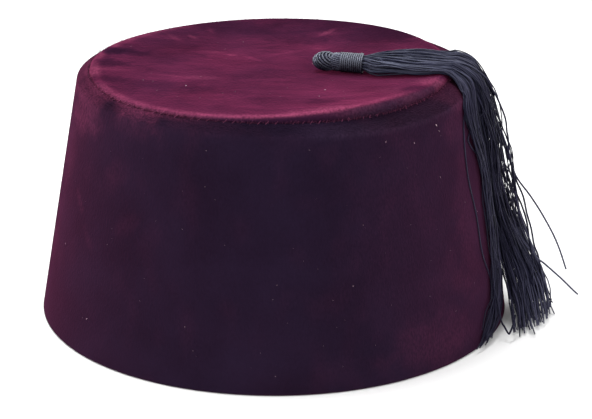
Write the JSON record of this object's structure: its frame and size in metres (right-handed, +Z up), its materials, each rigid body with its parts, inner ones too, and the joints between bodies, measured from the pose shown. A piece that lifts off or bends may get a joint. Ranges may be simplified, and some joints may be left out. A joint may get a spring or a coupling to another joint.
{
  "type": "fez hat with a tassel",
  "caption": "Oval fez of velvet, wider at the hem, open below, with a flat top in a rolled rim and a thread tassel that falls over one end.",
  "frame": {"origin": "middle of the hem's oval, on the surface that the hat stands on", "axes": "+Z up through the top, +X towards the tassel and the back of the head, +Y towards the wearer's right"},
  "size_m": [0.2199, 0.1768, 0.113],
  "materials": {
    "velvet_side": "dark wine velvet with a short pile and a soft sheen",
    "velvet_top": "the same velvet, brushed so that its pile shines redder on the top",
    "tassel_thread": "black twisted rayon thread with a silky shine",
    "binding_thread": "black thread wound tight, grey where it shines"
  },
  "bodies": {
    "root": {"crown_side": "velvet_side", "crown_top": "velvet_top", "tassel": "tassel_thread", "tassel_binding": "binding_thread"}
  },
  "joints": []
}
